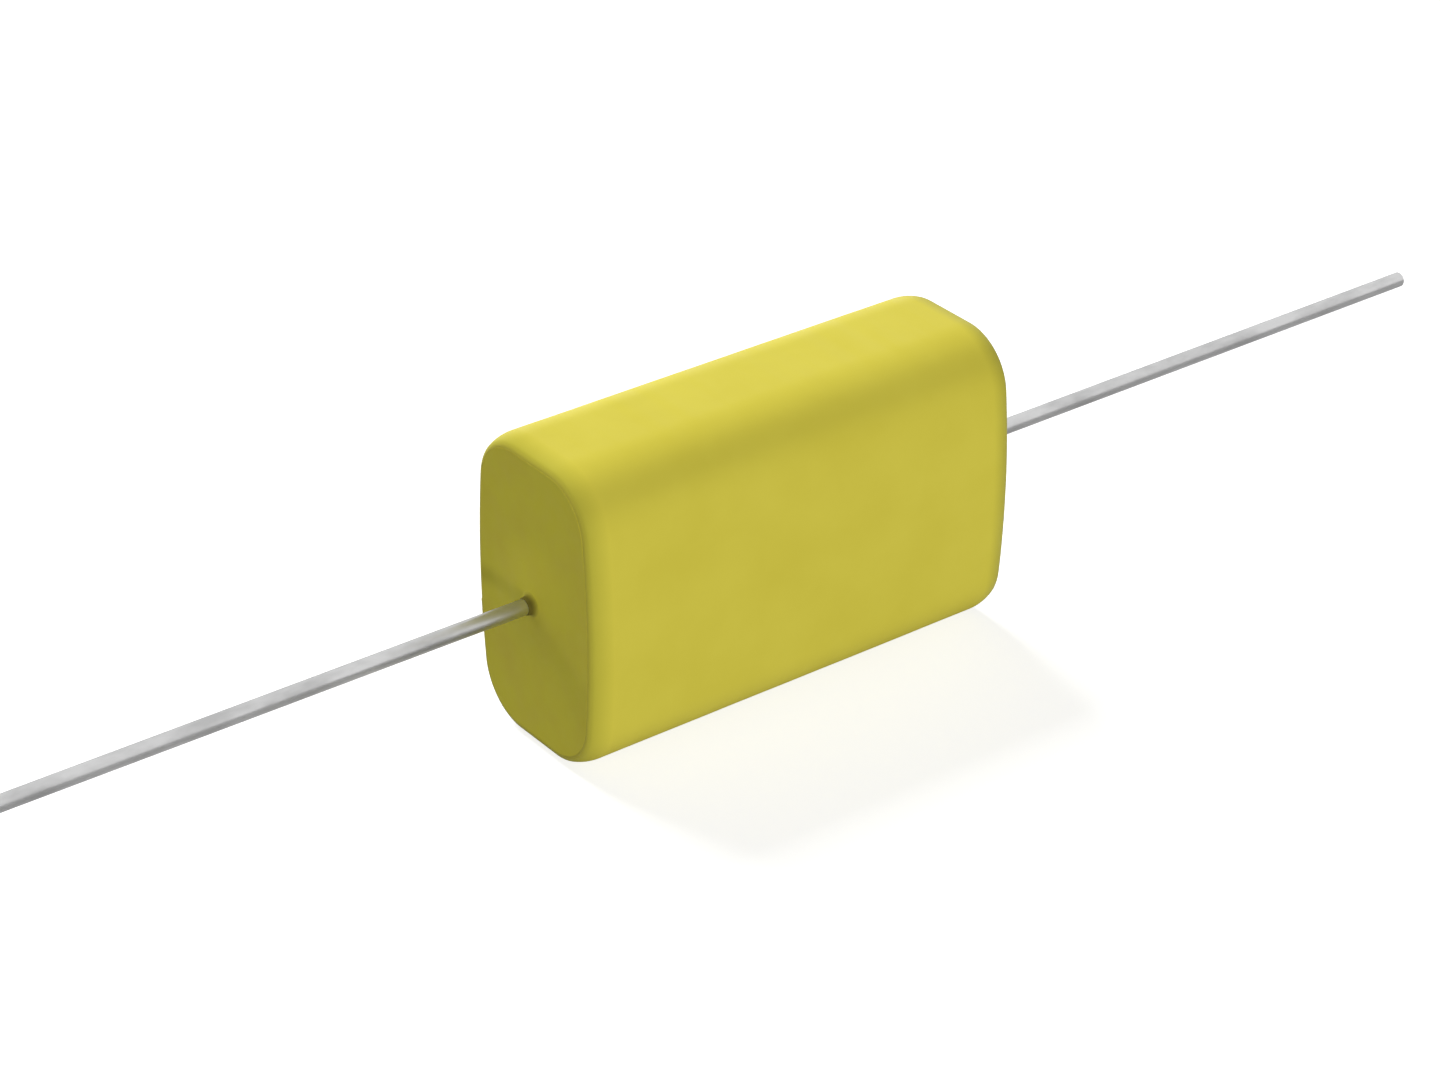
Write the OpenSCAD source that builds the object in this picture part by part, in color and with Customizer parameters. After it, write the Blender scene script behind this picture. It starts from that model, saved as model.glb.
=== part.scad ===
// Axial film capacitor: a film roll pressed to a rounded block, metal sprayed on
// both of its ends, a wire soldered to each, tape wound over it and resin in the
// two cups that the tape leaves. It stands on one narrow face, at z = 0, with its
// leads along X.

/* [Body] */
// Length of the body over its two end faces
body_l = 31.5; // [24:0.5:46]
// Height of the body, over its two narrow faces
body_h = 20; // [15:0.5:30]
// Thickness of the body, over the crowns of its two large faces
body_t = 12.3; // [10.8:0.1:20]
// Radius of the four long corners
corner_r = 4; // [2.5:0.1:4.8]
// How far each large face stands out between its corners
face_crown = 0.3; // [0.1:0.05:0.8]

/* [Tape wrap] */
// Thickness of the wound tape, all of its turns together
wrap_t = 0.25; // [0.1:0.05:0.6]
// Length over which each rim of the tape curls in
curl_l = 1.8; // [1:0.1:2.4]
// How far each rim has curled in where it meets the end face
curl_in = 0.5; // [0.2:0.05:0.9]

/* [Winding ends] */
// Depth of the resin, from the end face to the sprayed metal
fill_l = 2.55; // [2:0.05:4]
// Thickness of the sprayed metal
spray_t = 0.5; // [0.2:0.05:1]

/* [Leads] */
// Diameter of the lead wire
lead_d = 1; // [0.6:0.1:1.2]
// Length of each lead outside the body
lead_l = 40; // [20:1:50]
// Straight wire below the end face, before its bend in the resin
lead_in = 0.1; // [0:0.05:0.3]
// Reach of the foot that lies on the sprayed metal, from the middle of the body
foot_l = 6; // [4:0.5:7]

/* [Solder joint] */
// Length of the solder along the foot
solder_l = 3.4; // [2:0.2:4]
// Height of the solder at its middle
solder_h = 1.45; // [1.3:0.05:1.8]
// Height of the solder at its two ends
solder_end_h = 0.9; // [0.6:0.05:1.2]
// Solder between the foot and the sprayed metal
solder_film = 0.1; // [0.05:0.05:0.2]

/* [End fill] */
// Width of the dimple that the resin leaves round the lead as it sets
dimple_d = 9; // [4:0.5:10]
// Depth of that dimple at its middle
dimple_depth = 0.15; // [0.05:0.05:0.4]
// Width of the pit in the resin, right round the lead, at its mouth
pit_d = 1.4; // [1.3:0.05:2]
// Depth of the pit below the end face
pit_depth = 0.6; // [0.3:0.05:0.9]

/* [Hidden] */
$fn = 96;

end_x = body_l/2;
spray_x = end_x - fill_l;
film_x = spray_x - spray_t;

// the section: corner arcs about (corner_y, corner_z), tangent to the long arcs of
// the large faces, whose centres lie face_span from those of the corners
corner_y = body_t/2 - corner_r - face_crown;
corner_z = body_h/2 - corner_r;
face_span = (pow(corner_z, 2) + pow(face_crown, 2))/(2*face_crown);
seam_a = asin(corner_z/face_span);
core_lap = corner_y/2;

// the rim: one arc, tangent to the wall at curl_x
curl_r = (pow(curl_l, 2) + pow(curl_in, 2))/(2*curl_in);
curl_x = end_x - curl_l;

// the middle line of the wire's foot, and the bend from there to the straight
foot_x = spray_x + solder_film + lead_d/2;
bend_x = end_x - lead_in;
bend_r = bend_x - foot_x;

// Half of a lengthwise section near the wall: across runs out to the wall, which
// stands at the given radius, and up runs along the leads, from x0 to x1
module wall_profile(radius, depth, inset, x0, x1) {
  intersection() {
    translate([radius - depth, x0]) square([depth, x1 - x0]);
    union() {
      translate([radius - depth, -curl_x]) square([depth - inset, 2*curl_x]);
      for (end = [-1, 1])
        translate([radius - curl_r, end*curl_x]) circle(curl_r - inset);
    }
  }
}

// Everything on the large face's side of the seam between that face and a corner
module face_side() {
  translate([corner_y, corner_z, -body_l]) rotate(seam_a)
    translate([-body_h, -body_h, 0]) cube([2*body_h, body_h, 2*body_l]);
}

// A quarter of the block, lying with the leads along Z and the thickness along X
module quarter_block(inset, x0, x1) {
  difference() {
    translate([corner_y, corner_z, 0])
      rotate_extrude(angle = 90) wall_profile(corner_r, corner_r, inset, x0, x1);
    face_side();
  }
  intersection() {
    translate([corner_y + face_crown - face_span, 0, 0]) rotate_extrude(angle = 2*seam_a)
      wall_profile(face_span + corner_r, corner_r + face_crown + core_lap, inset, x0, x1);
    face_side();
  }
  translate([0, corner_z, 0]) rotate([90, 0, 90])
    linear_extrude(corner_y) wall_profile(corner_r, corner_r + core_lap, inset, x0, x1);
  translate([0, 0, x0]) cube([corner_y, corner_z, x1 - x0]);
}

// The pressed block's shape, shrunk by inset all round, between two places on X
module pressed_block(inset, x0, x1) {
  for (y_side = [0, 1], z_side = [0, 1])
    mirror([y_side, 0, 0]) mirror([0, z_side, 0]) quarter_block(inset, x0, x1);
}

// Turns what lies along Z to run along X, at the body's middle height
module stand() {
  translate([0, 0, body_h/2]) rotate([90, 0, 90]) children();
}

// The same at the other end
module left_end() {
  mirror([1, 0, 0]) children();
}

// Straight wire, a bend, and the foot that goes down the sprayed metal
module lead_wire() {
  translate([0, 0, bend_x]) cylinder(d = lead_d, h = end_x + lead_l - bend_x);
  translate([0, -bend_r, bend_x]) rotate([-90, 0, 90])
    rotate_extrude(angle = 90) translate([bend_r, 0]) circle(d = lead_d);
  translate([0, -bend_r, foot_x]) rotate([90, 0, 0]) cylinder(d = lead_d, h = foot_l - bend_r);
}

// Half a barrel of solder lying along the straight of the foot
module solder_mound() {
  rise = solder_h - solder_end_h;
  barrel_r = (pow(solder_l/2, 2) + pow(rise, 2))/(2*rise);
  translate([0, -(bend_r + foot_l)/2, spray_x]) rotate([90, 0, 0])
    rotate_extrude(angle = 180) intersection() {
      translate([0, -solder_l/2]) square([solder_h, solder_l]);
      translate([solder_h - barrel_r, 0]) circle(barrel_r);
    }
}

module film_winding() {
  color("lightsteelblue") stand() pressed_block(wrap_t, -film_x, film_x);
}

module end_spray() {
  color("dimgray") stand() pressed_block(wrap_t, film_x, spray_x);
}

module solder_joint() {
  color("lightgray") stand() difference() {
    solder_mound();
    lead_wire();
  }
}

module lead() {
  color("silver") stand() lead_wire();
}

module tape_wrap() {
  color("khaki") stand() difference() {
    pressed_block(0, -end_x, end_x);
    pressed_block(wrap_t, -end_x - wrap_t, end_x + wrap_t);
  }
}

module end_fill() {
  dimple_r = (pow(dimple_d/2, 2) + pow(dimple_depth, 2))/(2*dimple_depth);
  pit_floor_d = (lead_d + pit_d)/2;
  color("darkkhaki") stand() difference() {
    pressed_block(wrap_t, spray_x, end_x);
    solder_mound();
    lead_wire();
    translate([0, 0, end_x + dimple_r - dimple_depth]) sphere(dimple_r);
    translate([0, 0, end_x - pit_depth]) cylinder(d1 = pit_floor_d, d2 = pit_d, h = pit_depth);
  }
}

film_winding();
left_end() end_spray();  // end_spray_left
end_spray();  // end_spray_right
left_end() solder_joint();  // solder_joint_left
solder_joint();  // solder_joint_right
left_end() lead();  // lead_left
lead();  // lead_right
tape_wrap();
left_end() end_fill();  // end_fill_left
end_fill();  // end_fill_right
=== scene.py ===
import math

import bmesh
import bpy
from mathutils import Matrix, Vector, noise


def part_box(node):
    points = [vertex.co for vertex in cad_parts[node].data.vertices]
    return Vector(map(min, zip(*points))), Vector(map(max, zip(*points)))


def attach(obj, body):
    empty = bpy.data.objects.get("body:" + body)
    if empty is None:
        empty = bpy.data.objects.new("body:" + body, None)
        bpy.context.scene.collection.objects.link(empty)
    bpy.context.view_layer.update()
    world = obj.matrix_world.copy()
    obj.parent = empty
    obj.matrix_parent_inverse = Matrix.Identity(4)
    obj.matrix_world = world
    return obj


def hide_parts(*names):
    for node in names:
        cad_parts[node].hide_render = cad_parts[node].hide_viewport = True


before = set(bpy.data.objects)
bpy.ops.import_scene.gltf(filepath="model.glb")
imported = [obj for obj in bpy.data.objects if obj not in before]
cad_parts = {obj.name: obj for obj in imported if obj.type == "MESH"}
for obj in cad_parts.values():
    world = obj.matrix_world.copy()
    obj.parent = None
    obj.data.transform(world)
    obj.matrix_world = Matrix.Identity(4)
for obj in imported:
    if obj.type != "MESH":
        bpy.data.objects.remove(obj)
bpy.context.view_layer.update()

mm = 0.001
scene = bpy.context.scene

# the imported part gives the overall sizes
sleeveLow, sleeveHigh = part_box("tape_wrap")
bodyLength = sleeveHigh.x - sleeveLow.x
bodyHeight = sleeveHigh.z - sleeveLow.z
bodyMiddle = Vector((0.0, 0.0, (sleeveHigh.z + sleeveLow.z) / 2))
wireLow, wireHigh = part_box("lead_right")
wireRadius = (wireHigh.y - wireLow.y) / 2
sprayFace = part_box("end_spray_right")[1].x
print("frame loaded, body", round(bodyLength / mm, 2), "by", round(bodyHeight / mm, 2), "mm")

mergeDistance = 0.0005 * mm  # points closer than this become one


# small helpers

def link(tree, source, target):
    tree.links.new(source, target)


def addNode(tree, kind, feeds=None, **settings):
    # feeds gives sockets, by name or number, a fixed value or another node's output
    node = tree.nodes.new(kind)
    for name, value in settings.items():
        setattr(node, name, value)
    for key, value in (feeds or {}).items():
        if isinstance(value, bpy.types.NodeSocket):
            link(tree, value, node.inputs[key])
        else:
            node.inputs[key].default_value = value
    return node


def mathNode(tree, operation, *values):
    return addNode(tree, "ShaderNodeMath", dict(enumerate(values)), operation=operation).outputs[0]


def clearTree(owner):
    # a material's or the world's node tree, emptied
    owner.use_nodes = True
    owner.node_tree.nodes.clear()
    return owner.node_tree


def newMesh(name, points, faces):
    data = bpy.data.meshes.new(name)
    data.from_pydata([tuple(p) for p in points], [], faces)
    obj = bpy.data.objects.new(name, data)
    scene.collection.objects.link(obj)
    return obj


def finishMesh(obj, sharpAngle):
    # merge, smooth shading, edges sharper than the angle kept
    work = bmesh.new()
    work.from_mesh(obj.data)
    bmesh.ops.remove_doubles(work, verts=work.verts, dist=mergeDistance)
    bmesh.ops.dissolve_degenerate(work, edges=work.edges, dist=mergeDistance)
    openEdges = sum(1 for e in work.edges if len(e.link_faces) != 2)
    volume = work.calc_volume(signed=True)
    if volume < 0:
        bmesh.ops.reverse_faces(work, faces=work.faces)
    for face in work.faces:
        face.smooth = True
    for edge in work.edges:
        if len(edge.link_faces) == 2:
            edge.smooth = edge.calc_face_angle(0) < math.radians(sharpAngle)
    work.to_mesh(obj.data)
    work.free()
    obj.data.update()
    print("  ", obj.name, len(obj.data.polygons), "faces, open edges", openEdges,
          "volume mm3", round(abs(volume) / mm ** 3, 2))
    return obj


def toPlainMesh(obj, name):
    # takes the evaluated shape as a plain mesh and drops the modifiers
    graph = bpy.context.evaluated_depsgraph_get()
    data = bpy.data.meshes.new_from_object(obj.evaluated_get(graph))
    plain = bpy.data.objects.new(name, data)
    scene.collection.objects.link(plain)
    bpy.data.objects.remove(obj, do_unlink=True)
    return plain


# geometry trees: a path goes in, and a real mesh with its material comes out

def newTree(name, sizes, counts):
    tree = bpy.data.node_groups.new(name, "GeometryNodeTree")
    sockets = [("Geometry", "NodeSocketGeometry")]
    sockets += [(label, "NodeSocketFloat") for label in sizes]
    sockets += [(label, "NodeSocketInt") for label in counts]
    sockets += [("Material", "NodeSocketMaterial")]
    for label, kind in sockets:
        tree.interface.new_socket(label, in_out="INPUT", socket_type=kind)
    tree.interface.new_socket("Geometry", in_out="OUTPUT", socket_type="NodeSocketGeometry")
    return tree, addNode(tree, "NodeGroupInput").outputs


def closeTree(tree, shape, material):
    realize = addNode(tree, "GeometryNodeRealizeInstances", {0: shape})
    feeds = {"Geometry": realize.outputs[0], "Material": material}
    paint = addNode(tree, "GeometryNodeSetMaterial", feeds)
    addNode(tree, "NodeGroupOutput", {"Geometry": paint.outputs[0]})


def modifierInput(modifier, name, value):
    for item in modifier.node_group.interface.items_tree:
        if item.item_type == "SOCKET" and item.in_out == "INPUT" and item.name == name:
            modifier[item.identifier] = value
            return
    raise KeyError(name)


def makePath(name, points, closed, tree, inputs):
    # a path of straight runs, with the tree as its modifier
    curve = bpy.data.curves.new(name, "CURVE")
    curve.dimensions = "3D"
    spline = curve.splines.new("POLY")
    spline.points.add(len(points) - 1)
    for k, point in enumerate(points):
        spline.points[k].co = (*point, 1.0)
    spline.use_cyclic_u = closed
    path = bpy.data.objects.new(name, curve)
    scene.collection.objects.link(path)
    modifier = path.modifiers.new("tree", "NODES")
    modifier.node_group = tree
    for label, value in inputs.items():
        modifierInput(modifier, label, value)
    return path


# outline of the pressed body, looking along X: two crowned faces, four round corners, two flats

pressedBody = {
    "thickness": 12.3 * mm,
    "cornerRadius": 4.0 * mm,
    "faceCrown": 0.3 * mm,
    "steps": {"face": 40, "nearCorner": 24, "flat": 12, "farCorner": 24},
}


def outlineSteps():
    # one entry for each point: which arc it is on, on which side, and how far along it
    steps = []
    for side in (1, -1):
        for arc, count in pressedBody["steps"].items():
            steps += [(arc, side, k / count) for k in range(count)]
    return steps


def outlinePoint(step, inset):
    arc, side, along = step
    crown = pressedBody["faceCrown"]
    radius = pressedBody["cornerRadius"] - inset
    middleY = pressedBody["thickness"] / 2 - pressedBody["cornerRadius"] - crown
    middleZ = bodyHeight / 2 - pressedBody["cornerRadius"]
    faceSpan = (middleZ ** 2 + crown ** 2) / (2 * crown)
    seam = math.asin(middleZ / faceSpan)
    if arc == "face":
        angle = -seam + 2 * seam * along
        faceRadius = faceSpan + radius
        y = pressedBody["thickness"] / 2 - inset - faceRadius * (1 - math.cos(angle))
        z = faceRadius * math.sin(angle)
    elif arc == "nearCorner":
        angle = seam + (math.pi / 2 - seam) * along
        y, z = middleY + radius * math.cos(angle), middleZ + radius * math.sin(angle)
    elif arc == "flat":
        y, z = middleY - 2 * middleY * along, middleZ + radius
    else:
        angle = math.pi / 2 + (math.pi / 2 - seam) * along
        y, z = -middleY + radius * math.cos(angle), middleZ + radius * math.sin(angle)
    return side * y, side * z


# materials

def newMaterial(name):
    material = bpy.data.materials.new(name)
    tree = clearTree(material)
    shader = addNode(tree, "ShaderNodeBsdfPrincipled")
    addNode(tree, "ShaderNodeOutputMaterial", {"Surface": shader.outputs["BSDF"]})
    place = addNode(tree, "ShaderNodeTexCoord").outputs["Object"]
    return material, tree, shader, place


def noiseField(tree, place, scale, detail, roughness, stretch=(1, 1, 1), offset=(0, 0, 0)):
    feeds = {"Vector": place, "Scale": stretch, "Location": offset}
    moved = addNode(tree, "ShaderNodeMapping", feeds).outputs["Vector"]
    feeds = {"Vector": moved, "Scale": scale, "Detail": detail, "Roughness": roughness}
    return addNode(tree, "ShaderNodeTexNoise", feeds).outputs["Fac"]


def mapRange(tree, value, fromRange, toRange=(0.0, 1.0)):
    feeds = {"Value": value, "From Min": fromRange[0], "From Max": fromRange[1],
             "To Min": toRange[0], "To Max": toRange[1]}
    return addNode(tree, "ShaderNodeMapRange", feeds).outputs["Result"]


def mixColour(tree, factor, first, second, blend="MIX"):
    # a Mix node has its colours at inputs 6 and 7, and their mix at output 2
    colours = [(*c, 1.0) if isinstance(c, tuple) else c for c in (first, second)]
    feeds = {0: factor, 6: colours[0], 7: colours[1]}
    return addNode(tree, "ShaderNodeMix", feeds, data_type="RGBA", blend_type=blend).outputs[2]


def addBump(tree, shader, layers):
    # layers of (height, distance), one on the other
    normal = None
    for height, distance in layers:
        feeds = {"Strength": 1.0, "Distance": distance, "Height": height}
        if normal is not None:
            feeds["Normal"] = normal
        normal = addNode(tree, "ShaderNodeBump", feeds).outputs["Normal"]
    link(tree, normal, shader.inputs["Normal"])


def makeYellowTape():
    look = {
        "base": (0.70, 0.615, 0.072),
        "patch": (0.67, 0.585, 0.064),
        "patches": {"scale": 190, "detail": 3.0, "roughness": 0.55},
        "patchRange": (0.35, 0.68),
        # a darker tint at the rims: partly resin seen through the tape, partly painted shade
        "resinTintAndRimShade": (0.74, 0.765, 0.72),
        "rimShadeReach": (14.3 * mm, 15.6 * mm),  # the tint, partly painted rim shade, comes in, from the body's middle outwards
        "edgeReach": (15.60 * mm, 15.72 * mm),  # and goes back by half on the folded edge
        "edgeShare": 0.5,
        "streaks": {"scale": 900, "detail": 2.0, "roughness": 0.5, "stretch": (1, 0.06, 0.06)},
        "streakRange": (0.3, 0.7),
        "streakDepth": 0.0010 * mm,
        "grain": {"scale": 5200, "detail": 2.0, "roughness": 0.5},
        "grainDepth": 0.0006 * mm,
        "roughness": (0.34, 0.46),
        "ior": 1.5,
        "gloss": 0.12,
    }
    material, tree, shader, place = newMaterial("yellowTape")
    patches = noiseField(tree, place, **look["patches"])
    streaks = noiseField(tree, place, **look["streaks"])
    grain = noiseField(tree, place, **look["grain"])
    tint = mapRange(tree, patches, look["patchRange"])
    colour = mixColour(tree, tint, look["base"], look["patch"])
    # darker towards the rims: partly the tape looking deeper where resin and not the winding is
    # behind it, partly painted shade of the rims
    split = addNode(tree, "ShaderNodeSeparateXYZ", {"Vector": place})
    out = mathNode(tree, "ABSOLUTE", split.outputs["X"])
    rim = mapRange(tree, out, look["rimShadeReach"])
    edge = mapRange(tree, out, look["edgeReach"], (1.0, look["edgeShare"]))
    reach = mathNode(tree, "MULTIPLY", rim, edge)
    rimTintAndShade = mixColour(tree, reach, (1.0, 1.0, 1.0), look["resinTintAndRimShade"])
    colourWithRimShade = mixColour(tree, 1.0, colour, rimTintAndShade, blend="MULTIPLY")
    rough = mapRange(tree, streaks, look["streakRange"], look["roughness"])
    link(tree, colourWithRimShade, shader.inputs["Base Color"])
    link(tree, rough, shader.inputs["Roughness"])
    addBump(tree, shader, [(streaks, look["streakDepth"]), (grain, look["grainDepth"])])
    shader.inputs["IOR"].default_value = look["ior"]
    shader.inputs["Specular IOR Level"].default_value = look["gloss"]
    return material


def makeYellowResin():
    look = {
        "base": (0.72, 0.65, 0.062),
        "tan": (0.69, 0.585, 0.068),
        "patches": {"scale": 260, "detail": 3.0, "roughness": 0.55, "offset": (0.3, 0.1, 0.7)},
        "patchRange": (0.45, 0.72),
        "tanShare": 0.7,
        "shade": (0.13, 0.11, 0.018),
        "shadeFade": (0.58 * mm, 0.82 * mm),  # where the painted shade fades, from the wire's axis
        "skin": {"scale": 1100, "detail": 3.0, "roughness": 0.55},
        "skinRange": (0.3, 0.7),
        "skinDepth": 0.004 * mm,
        "grain": {"scale": 6500, "detail": 2.0, "roughness": 0.5},
        "grainDepth": 0.0012 * mm,
        "roughness": (0.42, 0.58),
        "ior": 1.5,
        "gloss": 0.08,
    }
    material, tree, shader, place = newMaterial("yellowResin")
    patches = noiseField(tree, place, **look["patches"])
    skin = noiseField(tree, place, **look["skin"])
    grain = noiseField(tree, place, **look["grain"])
    tint = mapRange(tree, patches, look["patchRange"], (0.0, look["tanShare"]))
    cast = mixColour(tree, tint, look["base"], look["tan"])
    # painted shade: the resin is coloured dark close round the wire, on the collar that creeps up
    # it
    split = addNode(tree, "ShaderNodeSeparateXYZ", {"Vector": place})
    feeds = {"Y": split.outputs["Y"], "Z": split.outputs["Z"]}
    flat = addNode(tree, "ShaderNodeCombineXYZ", feeds)
    feeds = {0: flat.outputs["Vector"], 1: (0.0, 0.0, bodyMiddle.z)}
    away = addNode(tree, "ShaderNodeVectorMath", feeds, operation="DISTANCE")
    shadeMask = mapRange(tree, away.outputs["Value"], look["shadeFade"], (1.0, 0.0))
    rough = mapRange(tree, skin, look["skinRange"], look["roughness"])
    link(tree, mixColour(tree, shadeMask, cast, look["shade"]), shader.inputs["Base Color"])
    link(tree, rough, shader.inputs["Roughness"])
    addBump(tree, shader, [(skin, look["skinDepth"]), (grain, look["grainDepth"])])
    shader.inputs["IOR"].default_value = look["ior"]
    shader.inputs["Specular IOR Level"].default_value = look["gloss"]
    return material


metalLooks = {
    "tinnedWire": {
        "tones": ((0.66, 0.66, 0.66), (0.52, 0.52, 0.52)),
        "pattern": {"scale": 700, "detail": 3.0, "roughness": 0.6, "stretch": (0.4, 1, 1)},
        "toneRange": (0.4, 0.7),
        "roughness": (0.28, 0.42),
        "relief": {"scale": 5200, "detail": 2.0, "roughness": 0.5, "stretch": (0.03, 1, 1)},
        "reliefDepth": 0.0016 * mm,
        "metallic": 1.0,
    },
    "sprayedMetal": {
        "tones": ((0.16, 0.16, 0.17), (0.30, 0.30, 0.31)),
        "pattern": {"scale": 2600, "detail": 4.0, "roughness": 0.7},
        "toneRange": (0.35, 0.65),
        "roughness": (0.6, 0.85),
        "reliefDepth": 0.05 * mm,
        "metallic": 0.8,
    },
    "solder": {
        "tones": ((0.58, 0.58, 0.58), (0.40, 0.40, 0.41)),
        "pattern": {"scale": 1500, "detail": 3.0, "roughness": 0.55},
        "toneRange": (0.35, 0.7),
        "roughness": (0.22, 0.4),
        "reliefDepth": 0.01 * mm,
        "metallic": 1.0,
    },
    "woundFilm": {
        "tones": ((0.20, 0.21, 0.24), (0.36, 0.38, 0.42)),
        "pattern": {"scale": 4000, "detail": 2.0, "roughness": 0.5, "stretch": (0.02, 1, 0.25)},
        "toneRange": (0.35, 0.65),
        "roughness": (0.22, 0.38),
        "reliefDepth": 0.004 * mm,
        "metallic": 0.6,
    },
}
metalRoughRange = (0.3, 0.7)  # how much of the pattern takes part in the roughness


def makeMetal(name):
    look = metalLooks[name]
    material, tree, shader, place = newMaterial(name)
    pattern = noiseField(tree, place, **look["pattern"])
    # the wire's drawing marks are a pattern of their own
    relief = noiseField(tree, place, **look["relief"]) if "relief" in look else pattern
    tint = mapRange(tree, pattern, look["toneRange"])
    rough = mapRange(tree, pattern, metalRoughRange, look["roughness"])
    link(tree, mixColour(tree, tint, *look["tones"]), shader.inputs["Base Color"])
    link(tree, rough, shader.inputs["Roughness"])
    addBump(tree, shader, [(relief, look["reliefDepth"])])
    shader.inputs["Metallic"].default_value = look["metallic"]
    return material


yellowTape = makeYellowTape()
yellowResin = makeYellowResin()
metals = {name: makeMetal(name) for name in metalLooks}
print("materials made")


# tape sleeve: the tape's own section, rims curled in, swept round the outline of the body

tapeSleeve = {
    "tapeThickness": 0.25 * mm,
    "curlLength": 1.8 * mm,
    "curlDepth": 0.4 * mm,
    "curlRadius": 2.9 * mm,
    "creaseRadius": 0.50 * mm,  # more lets the resin's wall show through the tape
    "creaseSteps": 9,
    "rimWidth": 0.42 * mm,
    "middleCuts": 40.0,
    "unevenness": 0.05 * mm,
    "unevenScale": 130.0,
    "unevenDetail": 1.5,
    "lapStep": 0.055 * mm,
    "lapSlope": 0.10 * mm,
    "lapAt": 0.34,  # where the tape ends, as a share of the back face's height
    "seed": 7.0,
    "sharpAngle": 35,
}


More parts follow.
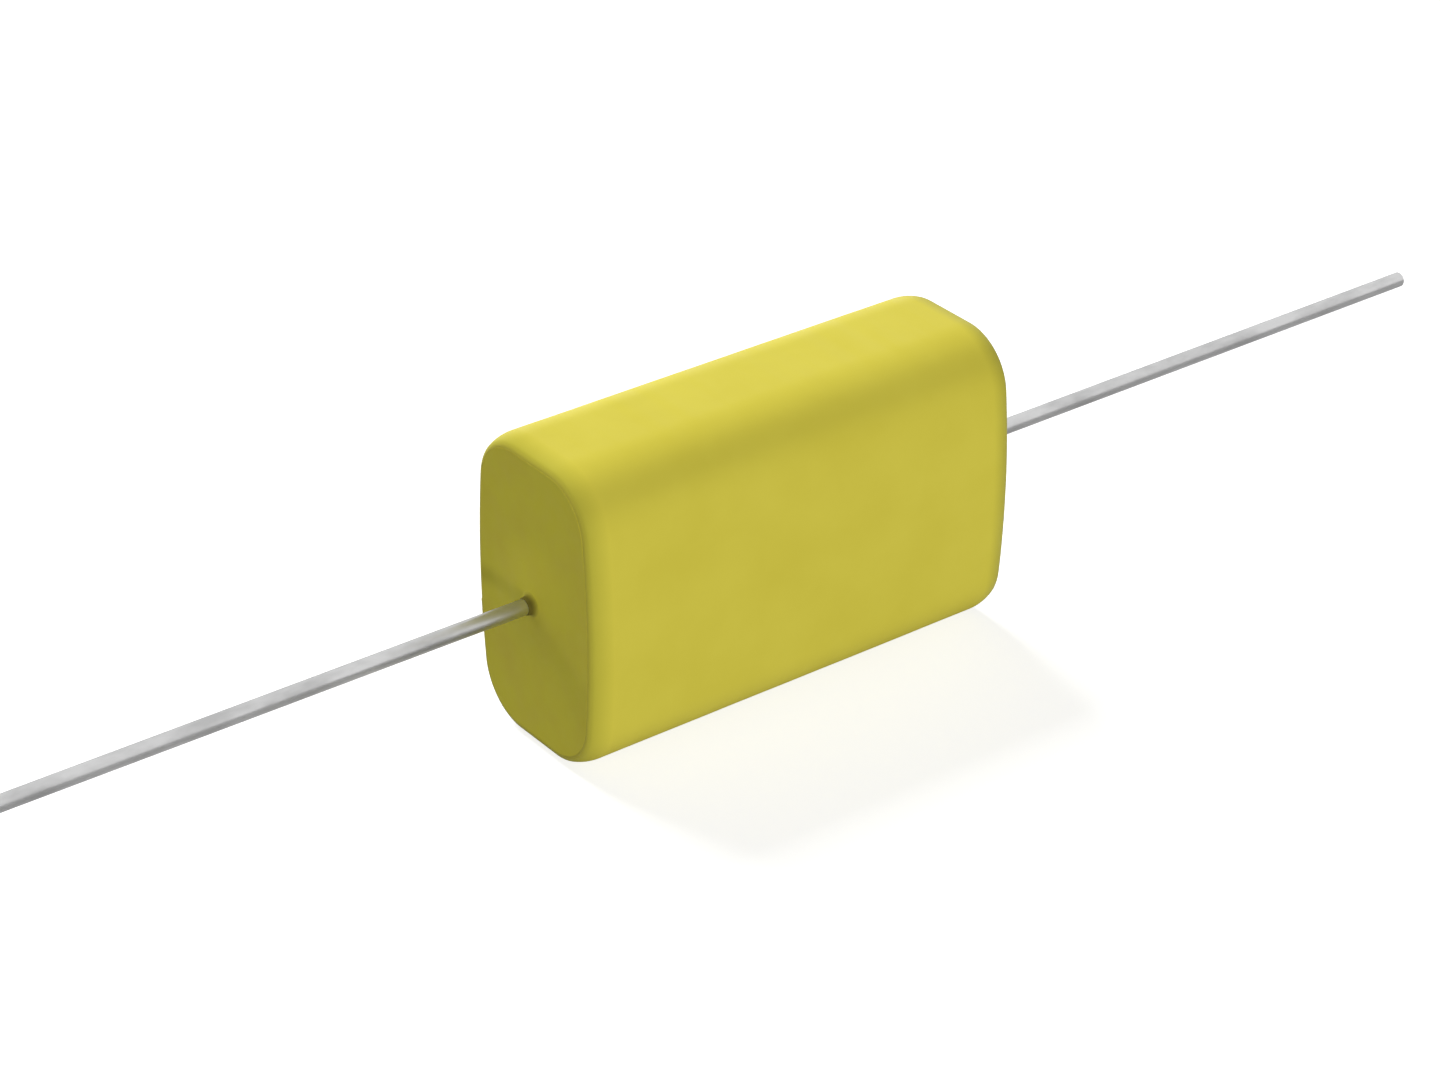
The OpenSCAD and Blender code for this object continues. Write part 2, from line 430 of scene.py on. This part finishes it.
def makeSleeveTree():
    sizes = ["Body Length", "Body Height", "Curl Length", "Curl Depth", "Curl Radius",
             "Crease Radius", "Rim Width", "Middle Cuts", "Unevenness", "Uneven Scale",
             "Uneven Detail", "Seed"]
    tree, size = newTree("tapeSleeveTree", sizes, ["Crease Steps"])

    def calc(operation, *values):
        return mathNode(tree, operation, *values)

    def minus(value):
        return calc("MULTIPLY", value, -1.0)

    def corner(x, y):
        return addNode(tree, "ShaderNodeCombineXYZ", {"X": x, "Y": y}).outputs["Vector"]

    halfLength = calc("DIVIDE", size["Body Length"], 2.0)
    curlStart = calc("SUBTRACT", halfLength, size["Curl Length"])
    # the body's straight run and the curled run meet halfway along the curl
    turnAt = calc("ADD", curlStart, calc("MULTIPLY", size["Curl Length"], 0.5))
    creaseDepth = minus(size["Curl Depth"])
    rimEnd = minus(calc("ADD", size["Curl Depth"], size["Rim Width"]))
    corners = [
        corner(rimEnd, minus(halfLength)), corner(creaseDepth, minus(halfLength)),
        corner(0.0, minus(turnAt)), corner(0.0, turnAt),
        corner(creaseDepth, halfLength), corner(rimEnd, halfLength),
    ]
    turnRadii = {1: "Crease Radius", 2: "Curl Radius", 3: "Curl Radius", 4: "Crease Radius"}
    # the long run from corner 2 to corner 3 is cut up, so that the surface can be uneven
    runStart, halfStep = 2.0, 0.5
    cornerCount = float(len(corners))
    cuts = size["Middle Cuts"]
    index = addNode(tree, "GeometryNodeInputIndex").outputs[0]
    before = calc("LESS_THAN", index, runStart + halfStep)
    after = calc("GREATER_THAN", index, calc("ADD", cuts, runStart + halfStep))
    middle = calc("SUBTRACT", calc("SUBTRACT", 1.0, before), after)
    firstPart = calc("MULTIPLY", before, index)
    lastPart = calc("MULTIPLY", after, calc("SUBTRACT", index, cuts))
    which = calc("ADD", firstPart, lastPart)
    which = calc("ADD", which, calc("MULTIPLY", middle, cornerCount))
    share = calc("DIVIDE", calc("SUBTRACT", index, runStart), calc("ADD", cuts, 1.0))
    along = calc("MULTIPLY", turnAt, calc("SUBTRACT", calc("MULTIPLY", share, 2.0), 1.0))
    line = addNode(tree, "GeometryNodeMeshLine", {"Count": calc("ADD", cuts, cornerCount)})
    where = addNode(tree, "GeometryNodeIndexSwitch", data_type="VECTOR")
    radii = addNode(tree, "GeometryNodeIndexSwitch", data_type="FLOAT")
    for switch in (where, radii):
        while len(switch.index_switch_items) < len(corners) + 1:
            switch.index_switch_items.new()
        link(tree, which, switch.inputs["Index"])
    for k, point in enumerate(corners + [corner(0.0, along)]):
        link(tree, point, where.inputs[k + 1])
    for k, label in turnRadii.items():
        link(tree, size[label], radii.inputs[k + 1])
    feeds = {"Geometry": line.outputs[0], "Position": where.outputs[0]}
    bent = addNode(tree, "GeometryNodeSetPosition", feeds)
    section = addNode(tree, "GeometryNodeMeshToCurve", {0: bent.outputs[0]})
    feeds = {"Curve": section.outputs[0], "Count": size["Crease Steps"],
             "Radius": radii.outputs[0], "Limit Radius": True}
    fillet = addNode(tree, "GeometryNodeFilletCurve", feeds, mode="POLY")
    # sweep the section round the outline
    feeds = {"Curve": size["Geometry"]}
    outline = addNode(tree, "GeometryNodeSetCurveNormal", feeds, mode="Z_UP")
    feeds = {"Curve": outline.outputs[0], "Profile Curve": fillet.outputs[0]}
    sweep = addNode(tree, "GeometryNodeCurveToMesh", feeds)
    # the outline lies flat, so it is stood up with the sleeve's length along X
    lift = addNode(tree, "ShaderNodeCombineXYZ", {"Z": calc("DIVIDE", size["Body Height"], 2.0)})
    feeds = {"Geometry": sweep.outputs[0], "Translation": lift.outputs["Vector"],
             "Rotation": (math.pi / 2, 0.0, math.pi / 2)}
    stand = addNode(tree, "GeometryNodeTransform", feeds)
    # slight unevenness, always inwards
    position = addNode(tree, "GeometryNodeInputPosition").outputs[0]
    seed = addNode(tree, "ShaderNodeCombineXYZ", {axis: size["Seed"] for axis in "XYZ"})
    feeds = {0: position, 1: seed.outputs["Vector"]}
    shifted = addNode(tree, "ShaderNodeVectorMath", feeds, operation="ADD")
    feeds = {"Vector": shifted.outputs["Vector"], "Scale": size["Uneven Scale"],
             "Detail": size["Uneven Detail"]}
    lumps = addNode(tree, "ShaderNodeTexNoise", feeds).outputs["Fac"]
    amount = minus(calc("MULTIPLY", lumps, size["Unevenness"]))
    feeds = {0: addNode(tree, "GeometryNodeInputNormal").outputs[0], "Scale": amount}
    push = addNode(tree, "ShaderNodeVectorMath", feeds, operation="SCALE")
    feeds = {"Geometry": stand.outputs[0], "Offset": push.outputs["Vector"]}
    uneven = addNode(tree, "GeometryNodeSetPosition", feeds)
    closeTree(tree, uneven.outputs[0], size["Material"])
    return tree


def makeTapeSleeve():
    steps = outlineSteps()
    first = int(tapeSleeve["lapAt"] * pressedBody["steps"]["face"])
    steps = steps[first:] + steps[:first + 1]
    outline = []
    for k, step in enumerate(steps):
        # each turn lies on the one below: the outline grows by one step, then drops back
        inset = tapeSleeve["lapStep"] * (1 - k / (len(steps) - 1))
        outline.append(outlinePoint(step, inset))
    y, z = outline[-1]
    outline[-1] = (y, z - tapeSleeve["lapSlope"])
    points = [(y, z, 0.0) for y, z in outline]
    path = makePath("tapeOutline", points, True, makeSleeveTree(), {
        "Body Length": bodyLength,
        "Body Height": bodyHeight,
        "Curl Length": tapeSleeve["curlLength"],
        "Curl Depth": tapeSleeve["curlDepth"],
        "Curl Radius": tapeSleeve["curlRadius"],
        "Crease Radius": tapeSleeve["creaseRadius"],
        "Crease Steps": tapeSleeve["creaseSteps"],
        "Rim Width": tapeSleeve["rimWidth"],
        "Middle Cuts": tapeSleeve["middleCuts"],
        "Unevenness": tapeSleeve["unevenness"],
        "Uneven Scale": tapeSleeve["unevenScale"],
        "Uneven Detail": tapeSleeve["unevenDetail"],
        "Seed": tapeSleeve["seed"],
        "Material": yellowTape,
    })
    wall = path.modifiers.new("wall", "SOLIDIFY")
    wall.thickness = tapeSleeve["tapeThickness"]
    wall.offset = -1.0
    sleeve = finishMesh(toPlainMesh(path, "tapeSleeve"), tapeSleeve["sharpAngle"])
    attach(sleeve, "root")
    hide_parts("tape_wrap")
    return sleeve


makeTapeSleeve()
print("tape sleeve made")


# resin in the two cups of the sleeve: a poured skin that rises to the wire and creeps up it

resinEnd = {
    "flush": 0.03 * mm,
    "rimInset": 0.76 * mm,
    "wallInset": 0.27 * mm,
    # (depth below the end face, inset)
    "wallSteps": ((0.45 * mm, 0.74 * mm), (0.9 * mm, 0.55 * mm), (1.5 * mm, 0.36 * mm),
                  (2.1 * mm, 0.28 * mm)),
    "moundRadius": 4.5 * mm,
    "moundHeight": 0.24 * mm,
    # (reach from the wire's axis, rise), in mm
    "collar": ((0.72, 0.02), (0.65, 0.07), (0.61, 0.16), (0.58, 0.30), (0.56, 0.42),
               (0.535, 0.48), (0.45, 0.50)),
    "collarReach": 0.82 * mm,
    "rings": 30,
    "ringSpread": 0.9,  # below 1 the rings crowd towards the wire
    "rimRelief": 0.25,  # share of the skin's relief left at the rim
    "reliefGain": 3.0,
    "unevenness": 0.05 * mm,
    "unevenScale": 260.0,
    "unevenSlice": 0.37,
    "sharpAngle": 50,
}


def resinDepth(y, z):
    # how far the skin lies below the end face
    away = math.hypot(y, z)
    depth = resinEnd["flush"]
    if away < resinEnd["moundRadius"]:
        swell = 1 + math.cos(math.pi * away / resinEnd["moundRadius"])
        depth -= resinEnd["moundHeight"] * 0.5 * swell
    lump = noise.noise(Vector((y, z, resinEnd["unevenSlice"])) * resinEnd["unevenScale"])
    return depth + resinEnd["unevenness"] * 0.5 * (1 + lump)


def makeResinEnd(name, side, node):
    steps = outlineSteps()
    count = len(steps)
    rim = [outlinePoint(step, resinEnd["rimInset"]) for step in steps]
    angles = [math.atan2(z, y) for y, z in rim]
    turns = [(math.cos(angle), math.sin(angle)) for angle in angles]
    endFace = bodyLength / 2
    points = []

    def addRing(ring):
        points.extend(Vector((side * x, y, z + bodyMiddle.z)) for x, y, z in ring)

    # back of the resin, then its wall up to the rim
    wall = [(resinEnd["wallInset"], sprayFace)]
    wall += [(inset, endFace - depth) for depth, inset in reversed(resinEnd["wallSteps"])]
    for inset, x in wall:
        addRing([(x, *outlinePoint(step, inset)) for step in steps])
    # the skin, from the rim to the foot of the collar
    lipReach = resinEnd["collarReach"]
    for k in range(resinEnd["rings"] + 1):
        share = (k / resinEnd["rings"]) ** resinEnd["ringSpread"]
        relief = min(1.0, resinEnd["rimRelief"] + resinEnd["reliefGain"] * share)
        ring = []
        for (y, z), (c, s) in zip(rim, turns):
            ringY = y + (lipReach * c - y) * share
            ringZ = z + (lipReach * s - z) * share
            ring.append((endFace - resinDepth(ringY, ringZ) * relief, ringY, ringZ))
        addRing(ring)
    # a low collar of resin stands round the wire
    foot = endFace - resinDepth(lipReach, 0.0)
    for reach, rise in resinEnd["collar"]:
        addRing([(foot + rise * mm, reach * mm * c, reach * mm * s) for c, s in turns])
    last = len(points) - count
    faces = []
    for start in range(0, last, count):
        for k in range(count):
            a, b = start + k, start + (k + 1) % count
            faces.append((a, b, b + count, a + count))
    faces.append(tuple(range(last, last + count)))
    faces.append(tuple(reversed(range(count))))
    if side < 0:
        faces = [corners[::-1] for corners in faces]
    fill = newMesh(name, points, faces)
    fill.data.materials.append(yellowResin)
    finishMesh(fill, resinEnd["sharpAngle"])
    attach(fill, "root")
    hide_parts(node)
    return fill


makeResinEnd("resinEndLeft", -1, "end_fill_left")
makeResinEnd("resinEndRight", 1, "end_fill_right")
print("resin ends made")


# leads: round wire swept along its path, from the foot on the sprayed metal to its cut end

leadWire = {
    "sides": 32,
    "bendSteps": 14,
    "footGap": 0.1 * mm,
    "footReach": 6.0 * mm,
    "bendStart": 0.1 * mm,  # below the end face
    "endBevel": 0.09 * mm,
    "sharpAngle": 30,
}


def makeLeadTree():
    sizes = ["Wire Radius", "End Bevel", "Bend Radius"]
    tree, size = newTree("leadWireTree", sizes, ["Sides", "Bend Steps"])
    feeds = {"Curve": size["Geometry"], "Count": size["Bend Steps"],
             "Radius": size["Bend Radius"], "Limit Radius": True}
    fillet = addNode(tree, "GeometryNodeFilletCurve", feeds, mode="POLY").outputs[0]
    # the first and last points carry a smaller radius, which bevels both cut ends
    halfStep = 0.5
    index = addNode(tree, "GeometryNodeInputIndex").outputs[0]
    total = addNode(tree, "GeometryNodeAttributeDomainSize", {0: fillet}, component="CURVE")
    lastIndex = mathNode(tree, "SUBTRACT", total.outputs["Point Count"], 1.0 + halfStep)
    isLast = mathNode(tree, "GREATER_THAN", index, lastIndex)
    isFirst = mathNode(tree, "LESS_THAN", index, halfStep)
    isEnd = mathNode(tree, "ADD", isFirst, isLast)
    cut = mathNode(tree, "MULTIPLY", isEnd, size["End Bevel"])
    radius = mathNode(tree, "SUBTRACT", size["Wire Radius"], cut)
    feeds = {"Resolution": size["Sides"], "Radius": 1.0}
    profile = addNode(tree, "GeometryNodeCurvePrimitiveCircle", feeds, mode="RADIUS")
    feeds = {"Curve": fillet, "Profile Curve": profile.outputs["Curve"],
             "Scale": radius, "Fill Caps": True}
    sweep = addNode(tree, "GeometryNodeCurveToMesh", feeds)
    closeTree(tree, sweep.outputs[0], size["Material"])
    return tree


def makeLead(tree, name, side, node):
    low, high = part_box(node)
    tip = max(abs(low.x), abs(high.x))
    axis = bodyMiddle.z
    footX = sprayFace + leadWire["footGap"] + wireRadius
    footZ = axis - leadWire["footReach"]
    bevel = leadWire["endBevel"]
    route = [(footX, footZ), (footX, footZ + bevel), (footX, axis),
             (tip - bevel, axis), (tip, axis)]
    points = [(side * x, 0.0, z) for x, z in route]
    line = makePath(name + "Path", points, False, tree, {
        "Wire Radius": wireRadius,
        "End Bevel": bevel,
        "Bend Radius": bodyLength / 2 - leadWire["bendStart"] - footX,
        "Sides": leadWire["sides"],
        "Bend Steps": leadWire["bendSteps"],
        "Material": metals["tinnedWire"],
    })
    wire = finishMesh(toPlainMesh(line, name), leadWire["sharpAngle"])
    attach(wire, "root")
    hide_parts(node)
    return wire


leadTree = makeLeadTree()
makeLead(leadTree, "leadWireLeft", -1, "lead_left")
makeLead(leadTree, "leadWireRight", 1, "lead_right")
print("leads made")


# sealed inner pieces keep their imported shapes

innerFinishes = {
    "film_winding": "woundFilm",
    "end_spray_left": "sprayedMetal",
    "end_spray_right": "sprayedMetal",
    "solder_joint_left": "solder",
    "solder_joint_right": "solder",
}
for node, finish in innerFinishes.items():
    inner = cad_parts[node]
    inner.data.materials.clear()
    inner.data.materials.append(metals[finish])
print("inner pieces painted")


# floor, light and camera

studio = {
    "floorSize": 3.0,
    "floorColour": (0.50, 0.50, 0.50),
    "floorLift": 0.80,  # added for the camera, near the part
    "farLift": 1.0,
    "farReach": (0.25, 0.70),  # where the one goes over into the other
    "skyLevel": 0.12,
    "bounceLevel": 0.20,
}

# azimuth and elevation in degrees, then metres; share 1 lights a white card to full white
softboxes = {
    "keySoftbox": {
        "towards": (182.0, 46.0), "distance": 0.55, "size": (0.26, 0.26), "share": 1.27},
    "fillSoftbox": {
        "towards": (355.0, 4.0), "distance": 0.60, "size": (0.42, 0.09), "share": 0.685},
    "sideSoftbox": {
        "towards": (275.0, 12.0), "distance": 0.50, "size": (0.24, 0.12), "share": 0.11},
}

view = {
    "turn": -0.64783,  # radians, as are tilt and roll
    "tilt": 0.52304,
    "roll": 0.00199,
    "distance": 11.67169,  # in body heights, from the middle of the body
    "aside": (0.08409, 0.05091),  # in body heights, to the left and down
    "lens": 96.607,
    "sensorWidth": 36.0,
    "clip": (0.01, 20.0),
}


def makeFloor():
    half = studio["floorSize"] / 2
    corners = [(-half, -half, 0), (half, -half, 0), (half, half, 0), (-half, half, 0)]
    floor = newMesh("floor", corners, [(0, 1, 2, 3)])
    material = bpy.data.materials.new("paleFloor")
    tree = clearTree(material)
    diffuse = addNode(tree, "ShaderNodeBsdfDiffuse", {"Color": (*studio["floorColour"], 1.0)})
    rays = addNode(tree, "ShaderNodeLightPath").outputs
    # far off, where the boxes hardly reach, the floor is lifted more
    place = addNode(tree, "ShaderNodeTexCoord").outputs["Object"]
    away = addNode(tree, "ShaderNodeVectorMath", {0: place}, operation="LENGTH").outputs["Value"]
    lift = mapRange(tree, away, studio["farReach"], (studio["floorLift"], studio["farLift"]))
    level = mathNode(tree, "MULTIPLY", rays["Is Camera Ray"], lift)
    glow = addNode(tree, "ShaderNodeEmission", {"Strength": level})
    both = addNode(tree, "ShaderNodeAddShader", {0: diffuse.outputs[0], 1: glow.outputs[0]})
    # seen from below, the floor is clear
    clear = addNode(tree, "ShaderNodeBsdfTransparent")
    under = addNode(tree, "ShaderNodeNewGeometry").outputs["Backfacing"]
    fromBelow = mathNode(tree, "MULTIPLY", under, rays["Is Camera Ray"])
    feeds = {0: fromBelow, 1: both.outputs[0], 2: clear.outputs[0]}
    choose = addNode(tree, "ShaderNodeMixShader", feeds)
    addNode(tree, "ShaderNodeOutputMaterial", {"Surface": choose.outputs[0]})
    floor.data.materials.append(material)
    # the world gives the floor's bounce, so that the part's underside isn't black
    floor.visible_diffuse = False
    floor.visible_shadow = False


def makeWorld():
    world = bpy.data.worlds.new("studioWorld")
    scene.world = world
    tree = clearTree(world)
    white = addNode(tree, "ShaderNodeBackground", {"Color": (1, 1, 1, 1), "Strength": 1.0})
    # a low sky above the horizon, and the floor's bounce below it
    direction = addNode(tree, "ShaderNodeTexCoord").outputs["Generated"]
    split = addNode(tree, "ShaderNodeSeparateXYZ", {"Vector": direction})
    upper = mathNode(tree, "GREATER_THAN", split.outputs["Z"], 0.0)
    level = mapRange(tree, upper, (0.0, 1.0), (studio["bounceLevel"], studio["skyLevel"]))
    sky = addNode(tree, "ShaderNodeBackground", {"Color": (1, 1, 1, 1), "Strength": level})
    # the camera, gloss and glass see plain white instead
    rays = addNode(tree, "ShaderNodeLightPath").outputs
    seen = mathNode(tree, "MAXIMUM", rays["Is Camera Ray"], rays["Is Glossy Ray"])
    seen = mathNode(tree, "MAXIMUM", seen, rays["Is Transmission Ray"])
    feeds = {0: seen, 1: sky.outputs[0], 2: white.outputs[0]}
    choose = addNode(tree, "ShaderNodeMixShader", feeds)
    addNode(tree, "ShaderNodeOutputWorld", {"Surface": choose.outputs[0]})


def makeSoftbox(name, towards, distance, size, share):
    turn, rise = (math.radians(a) for a in towards)
    flat = math.cos(rise)
    back = Vector((math.sin(turn) * flat, -math.cos(turn) * flat, math.sin(rise)))
    lamp = bpy.data.lights.new(name, "AREA")
    lamp.shape = "RECTANGLE"
    lamp.size, lamp.size_y = size
    lamp.energy = math.pi ** 2 * share * distance ** 2
    obj = bpy.data.objects.new(name, lamp)
    obj.location = bodyMiddle + back * distance
    obj.rotation_mode = "QUATERNION"
    obj.rotation_quaternion = back.to_track_quat("Z", "Y")
    # the boxes light the part but don't show in its gloss
    obj.visible_glossy = False
    scene.collection.objects.link(obj)


def makeCamera():
    turn, tilt, roll = view["turn"], view["tilt"], view["roll"]
    flat = math.cos(tilt)
    back = Vector((math.sin(turn) * flat, -math.cos(turn) * flat, math.sin(tilt)))
    level = Vector((math.cos(turn), math.sin(turn), 0.0))
    upright = back.cross(level)
    right = level * math.cos(roll) + upright * math.sin(roll)
    up = upright * math.cos(roll) - level * math.sin(roll)
    offset = back * view["distance"] - right * view["aside"][0] - up * view["aside"][1]
    place = bodyMiddle + offset * bodyHeight
    lens = bpy.data.cameras.new("camera")
    lens.lens = view["lens"]
    lens.sensor_width = view["sensorWidth"]
    lens.clip_start, lens.clip_end = view["clip"]
    camera = bpy.data.objects.new("camera", lens)
    camera.matrix_world = Matrix((
        (right.x, up.x, back.x, place.x), (right.y, up.y, back.y, place.y),
        (right.z, up.z, back.z, place.z), (0, 0, 0, 1)))
    scene.collection.objects.link(camera)
    scene.camera = camera


makeFloor()
makeWorld()
for name, box in softboxes.items():
    makeSoftbox(name, **box)
makeCamera()
scene.view_settings.view_transform = "Standard"
print("studio set")
